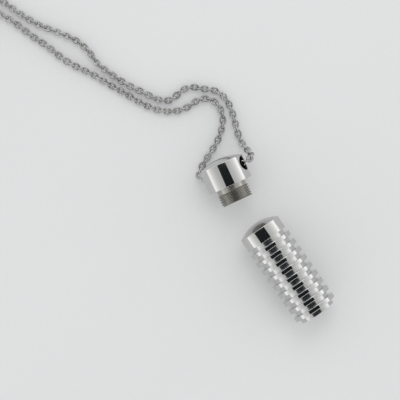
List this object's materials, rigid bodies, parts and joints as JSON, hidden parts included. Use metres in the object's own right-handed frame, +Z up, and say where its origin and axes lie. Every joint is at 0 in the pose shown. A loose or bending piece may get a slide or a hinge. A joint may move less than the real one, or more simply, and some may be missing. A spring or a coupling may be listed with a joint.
{
  "type": "screw-top cryptex capsule necklace",
  "caption": "Polished steel cryptex capsule pendant with turning rings and a threaded screw cap, shown unscrewed on its cable chain.",
  "frame": {"origin": "centre of the capsule's open mouth, on the capsule's axis", "axes": "+X out of the mouth along the capsule's axis, +Z up from the table that everything lies on"},
  "size_m": [0.1446, 0.0749, 0.013],
  "materials": {
    "polished_steel": "mirror-polished stainless steel",
    "satin_steel": "polished ends and mouth, finely turned satin grooves",
    "chain_steel": "bright tumbled stainless steel links",
    "clasp_steel": "polished stainless steel",
    "spring_steel": "plain drawn spring wire"
  },
  "bodies": {
    "necklace": {"chain_left": "chain_steel", "chain_right": "chain_steel", "coil_left": "chain_steel", "coil_right": "chain_steel", "clasp_body": "clasp_steel", "clasp_rivet": "clasp_steel", "clasp_spring": "spring_steel", "clasp_jump_ring": "clasp_steel", "end_ring": "clasp_steel"},
    "clasp_lever": {"clasp_lever": "clasp_steel"},
    "cap": {"screw_cap": "polished_steel", "chain_through_cap": "chain_steel"},
    "ring_9": {"ring_9": "polished_steel"},
    "capsule": {"capsule_core": "satin_steel", "snap_ring_1": "spring_steel", "snap_ring_2": "spring_steel", "snap_ring_3": "spring_steel", "snap_ring_4": "spring_steel", "snap_ring_5": "spring_steel", "snap_ring_6": "spring_steel", "snap_ring_7": "spring_steel", "snap_ring_8": "spring_steel", "snap_ring_9": "spring_steel"},
    "ring_1": {"ring_1": "polished_steel"},
    "ring_2": {"ring_2": "polished_steel"},
    "ring_3": {"ring_3": "polished_steel"},
    "ring_4": {"ring_4": "polished_steel"},
    "ring_5": {"ring_5": "polished_steel"},
    "ring_6": {"ring_6": "polished_steel"},
    "ring_7": {"ring_7": "polished_steel"},
    "ring_8": {"ring_8": "polished_steel"}
  },
  "joints": [
    {"name": "cap_push", "type": "slide", "parent": "necklace", "child": "cap", "axis": [0.9848, -0.1736, 0], "range_m": [0, 0.00685]},
    {"name": "capsule_swing", "type": "hinge", "parent": "necklace", "child": "ring_9", "pos_m": [-0.01811, -0.00206, 0], "axis": [0, 0, 1], "range_deg": [0, 170]},
    {"name": "screw_turn", "type": "hinge", "parent": "ring_9", "child": "capsule", "pos_m": [0, 0, 0], "axis": [1, 0, 0], "range_deg": [0, 3288.5]},
    {"name": "ring_1_turn", "type": "hinge", "parent": "capsule", "child": "ring_1", "pos_m": [-0.02303, 0, 0], "axis": [1, 0, 0], "continuous": true},
    {"name": "ring_2_turn", "type": "hinge", "parent": "capsule", "child": "ring_2", "pos_m": [-0.02038, 0, 0], "axis": [1, 0, 0], "continuous": true},
    {"name": "ring_3_turn", "type": "hinge", "parent": "capsule", "child": "ring_3", "pos_m": [-0.01773, 0, 0], "axis": [1, 0, 0], "continuous": true},
    {"name": "ring_4_turn", "type": "hinge", "parent": "capsule", "child": "ring_4", "pos_m": [-0.01508, 0, 0], "axis": [1, 0, 0], "continuous": true},
    {"name": "ring_5_turn", "type": "hinge", "parent": "capsule", "child": "ring_5", "pos_m": [-0.01243, 0, 0], "axis": [1, 0, 0], "continuous": true},
    {"name": "ring_6_turn", "type": "hinge", "parent": "capsule", "child": "ring_6", "pos_m": [-0.00978, 0, 0], "axis": [1, 0, 0], "continuous": true},
    {"name": "ring_7_turn", "type": "hinge", "parent": "capsule", "child": "ring_7", "pos_m": [-0.00713, 0, 0], "axis": [1, 0, 0], "continuous": true},
    {"name": "ring_8_turn", "type": "hinge", "parent": "capsule", "child": "ring_8", "pos_m": [-0.00448, 0, 0], "axis": [1, 0, 0], "continuous": true},
    {"name": "clasp_open", "type": "hinge", "parent": "necklace", "child": "clasp_lever", "pos_m": [-0.12654, -0.04612, -0.00515], "axis": [0, 0, 1], "range_deg": [-22, 0], "stiffness_Nm_per_rad": 0.0006, "springref_deg": 20.05}
  ],
  "couplings": [
    {"joint": "screw_turn", "follows": "cap_push", "rad_per_m": 8377.6}
  ]
}
